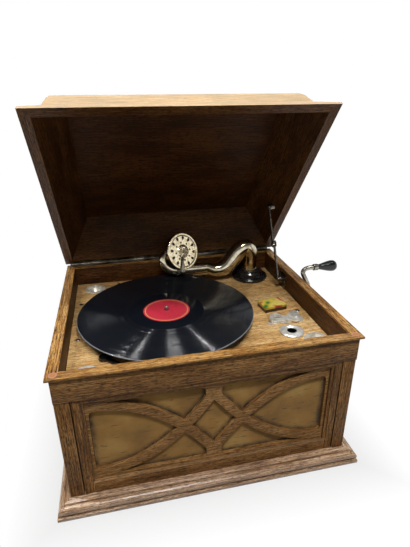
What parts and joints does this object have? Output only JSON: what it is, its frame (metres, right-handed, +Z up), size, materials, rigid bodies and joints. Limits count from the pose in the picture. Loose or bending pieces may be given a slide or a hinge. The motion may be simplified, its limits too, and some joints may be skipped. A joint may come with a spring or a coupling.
{
  "type": "table gramophone",
  "caption": "Wind-up table gramophone in an oak cabinet with hinged lid, fretted horn grille, turntable with record, side crank and swinging gooseneck tonearm.",
  "frame": {"origin": "centre of the plinth's underside, which is the face the gramophone stands on", "axes": "+Z up, -Y towards the grille front, +X towards the winding crank"},
  "size_m": [0.5408, 0.4361, 0.5562],
  "materials": {
    "oak": "semi-gloss stained oak",
    "nickel": "worn nickel plate",
    "steel": "plain steel",
    "brass": "dull brass",
    "grille_cloth": "woven gold cloth",
    "felt": "felt",
    "platter_metal": "plated steel",
    "shellac": "glossy shellac",
    "label_paper": "printed paper",
    "black_grip": "black lacquer",
    "black_enamel": "black enamel",
    "tin_sides": "dark enamel",
    "tin_print": "printed tin",
    "diaphragm_foil": "thin foil",
    "buffer_rubber": "aged rubber"
  },
  "bodies": {
    "cabinet": {"plinth": "oak", "base_board": "oak", "corner_posts": "oak", "left_side_panel": "oak", "right_side_panel": "oak", "back_panel": "oak", "top_frame": "oak", "rim_lip": "oak", "lid_buffers": "buffer_rubber", "grille_frame": "oak", "fretwork": "oak", "grille_cloth": "grille_cloth", "horn": "oak", "horn_throat": "steel", "deck_battens": "oak", "motor_board": "oak", "deck_screws": "nickel", "motor_top_plate": "steel", "motor_pillars": "steel", "motor_base_plate": "steel", "motor_bearings": "brass", "crank_escutcheon": "nickel", "tonearm_base": "black_enamel", "needle_cups": "nickel", "used_needle_cup": "nickel", "speed_plate": "nickel", "brake_plate": "black_enamel", "needle_tin": "tin_sides", "hinge_leaf_body": "steel", "hinge_pin": "steel", "stay_bracket": "steel"},
    "lid": {"lid_walls": "oak", "lid_top": "oak", "hinge_leaf_lid": "steel", "stay_lid_plate": "steel"},
    "stay_lower": {"stay_lower_link": "steel"},
    "stay_upper": {"stay_upper_link": "steel"},
    "turntable": {"spindle": "steel", "platter": "platter_metal", "platter_felt": "felt", "record": "shellac", "record_label": "label_paper"},
    "barrel": {"spring_barrel": "brass", "mainspring": "steel"},
    "arbor": {"winding_arbor": "steel"},
    "governor_train": {"governor": "brass"},
    "crank": {"crank_handle": "nickel"},
    "grip": {"crank_grip": "black_grip"},
    "arm": {"tonearm_riser": "nickel", "tonearm_tube": "nickel"},
    "neck": {"gooseneck": "nickel", "soundbox_shell": "nickel", "soundbox_face": "nickel", "diaphragm": "diaphragm_foil", "needle_bar": "steel", "needle": "steel"},
    "screw": {"needle_screw": "nickel"},
    "brake": {"brake_lever": "black_enamel"},
    "speed": {"speed_lever": "nickel"},
    "tin_cover": {"needle_tin_lid": "tin_print"}
  },
  "joints": [
    {"name": "lid_hinge", "type": "hinge", "parent": "cabinet", "child": "lid", "pos_m": [0, 0.195, 0.23345], "axis": [1, 0, 0], "range_deg": [0, 51.5]},
    {"name": "stay_lower_swing", "type": "hinge", "parent": "cabinet", "child": "stay_lower", "pos_m": [0.19135, 0.07, 0.21205], "axis": [1, 0, 0], "range_deg": [-0.1, 108.3]},
    {"name": "stay_upper_swing", "type": "hinge", "parent": "lid", "child": "stay_upper", "pos_m": [0.18855, 0.13361, 0.3459], "axis": [1, 0, 0], "range_deg": [-85.8, 0.1]},
    {"name": "turntable_spin", "type": "hinge", "parent": "cabinet", "child": "turntable", "pos_m": [-0.0433, -0.0087, 0.2], "axis": [0, 0, 1], "continuous": true},
    {"name": "barrel_spin", "type": "hinge", "parent": "cabinet", "child": "barrel", "pos_m": [0.01521, -0.022, 0.16], "axis": [0, 0, 1], "continuous": true},
    {"name": "governor_spin", "type": "hinge", "parent": "cabinet", "child": "governor_train", "pos_m": [-0.0433, -0.03245, 0.137], "axis": [1, 0, 0], "continuous": true},
    {"name": "crank_turn", "type": "hinge", "parent": "cabinet", "child": "crank", "pos_m": [0.22, 0.01, 0.14], "axis": [1, 0, 0], "continuous": true},
    {"name": "arbor_turn", "type": "hinge", "parent": "cabinet", "child": "arbor", "pos_m": [0.01521, -0.022, 0.14], "axis": [0, 0, 1], "continuous": true},
    {"name": "grip_spin", "type": "hinge", "parent": "crank", "child": "grip", "pos_m": [0.29, 0.05046, 0.24014], "axis": [1, 0, 0], "continuous": true},
    {"name": "tonearm_swing", "type": "hinge", "parent": "cabinet", "child": "arm", "pos_m": [0.15505, 0.137, 0.21], "axis": [0, 0, 1], "range_deg": [-4, 29]},
    {"name": "gooseneck_tilt", "type": "hinge", "parent": "arm", "child": "neck", "pos_m": [0.04005, 0.134, 0.226], "axis": [1, 0, 0], "range_deg": [-25, 22.7]},
    {"name": "needle_screw_turn", "type": "hinge", "parent": "neck", "child": "screw", "pos_m": [0.00156, 0.10367, 0.23263], "axis": [0.8568, 0.5156, -0.0043], "continuous": true},
    {"name": "brake_swing", "type": "hinge", "parent": "cabinet", "child": "brake", "pos_m": [-0.14999, -0.10399, 0.196], "axis": [0, 0, 1], "range_deg": [0, 12]},
    {"name": "speed_swing", "type": "hinge", "parent": "cabinet", "child": "speed", "pos_m": [0.17705, -0.057, 0.196], "axis": [0, 0, 1], "range_deg": [-4, 12]},
    {"name": "tin_lid_hinge", "type": "hinge", "parent": "cabinet", "child": "tin_cover", "pos_m": [0.1488, 0.00804, 0.2012], "axis": [-0.9903, -0.1392, 0], "range_deg": [0, 100]}
  ],
  "couplings": [
    {"joint": "stay_lower_swing", "follows": "lid_hinge", "ratio": 2.101},
    {"joint": "stay_upper_swing", "follows": "lid_hinge", "ratio": -1.664},
    {"joint": "barrel_spin", "follows": "turntable_spin", "ratio": -0.25},
    {"joint": "governor_spin", "follows": "turntable_spin", "ratio": -30},
    {"joint": "arbor_turn", "follows": "crank_turn", "ratio": 0.083333}
  ]
}
